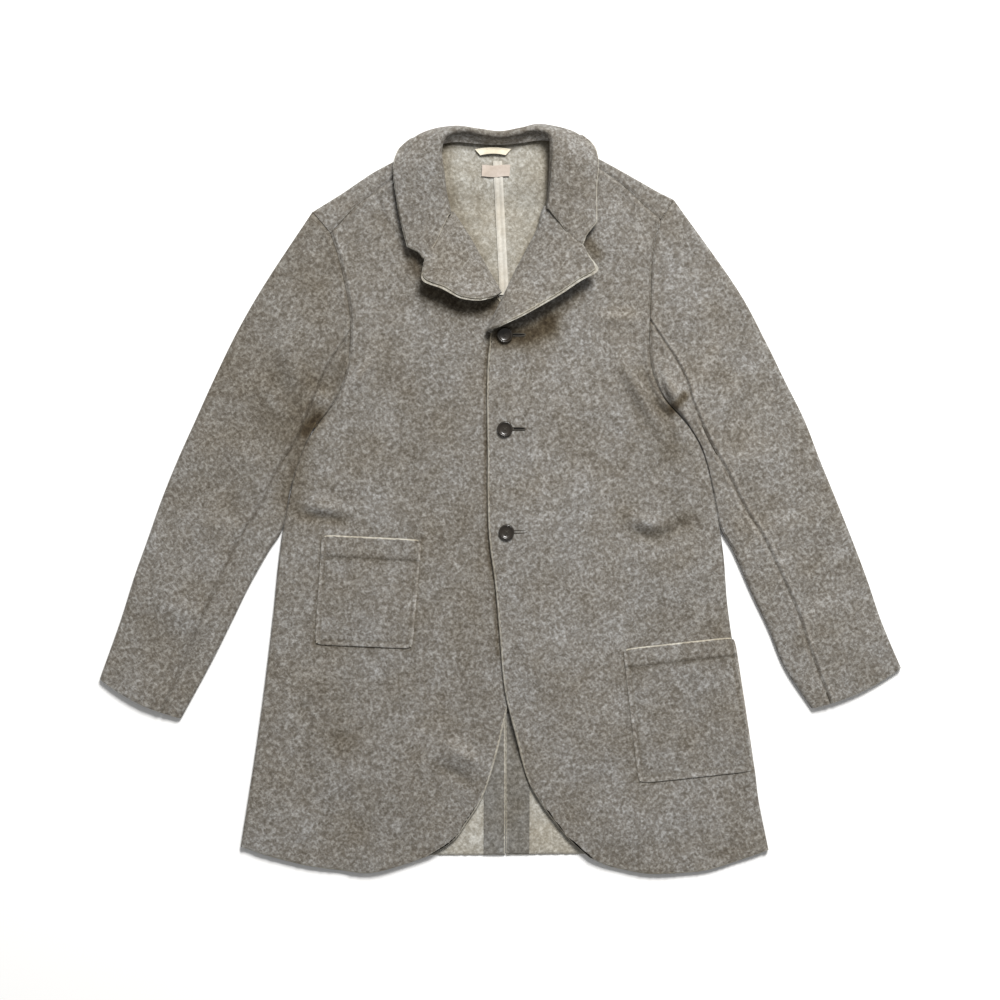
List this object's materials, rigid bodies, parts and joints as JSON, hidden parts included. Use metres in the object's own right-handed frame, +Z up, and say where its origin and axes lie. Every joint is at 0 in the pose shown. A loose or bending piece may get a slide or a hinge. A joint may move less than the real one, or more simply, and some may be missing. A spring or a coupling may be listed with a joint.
{
  "type": "wool jacket",
  "caption": "Single-breasted boiled wool jacket laid flat with its front up, notched lapels, cutaway fronts, patch pockets, long sleeves and a back vent.",
  "frame": {"origin": "on the surface the jacket lies on, under the middle of its outline", "axes": "+X to the wearer's left, across the sleeves; +Y from the hem to the collar; +Z up, away from the surface"},
  "size_m": [0.975, 0.9116, 0.0325],
  "materials": {
    "outer_wool": "grey-brown melange boiled wool, matt",
    "inner_wool": "light grey melange inner face of the wool, matt",
    "facing_strip": "dark brown wool strip, matt",
    "cotton_tape": "cream cotton tape, matt",
    "button_horn": "dark brown horn-like button, satin"
  },
  "bodies": {
    "root": {"back_right": "inner_wool", "back_left": "inner_wool", "front_right": "outer_wool", "front_left": "outer_wool", "facing_right": "outer_wool", "facing_left": "outer_wool", "collar_under": "outer_wool", "collar_top": "outer_wool", "sleeve_right_top": "outer_wool", "sleeve_right_under": "outer_wool", "sleeve_left_top": "outer_wool", "sleeve_left_under": "outer_wool", "pocket_right": "outer_wool", "pocket_left": "outer_wool", "vent_facing_right": "facing_strip", "vent_facing_left": "facing_strip", "back_tape": "cotton_tape", "hanger_loop": "cotton_tape", "label": "cotton_tape", "button_1": "button_horn", "button_2": "button_horn", "button_3": "button_horn"}
  },
  "joints": []
}
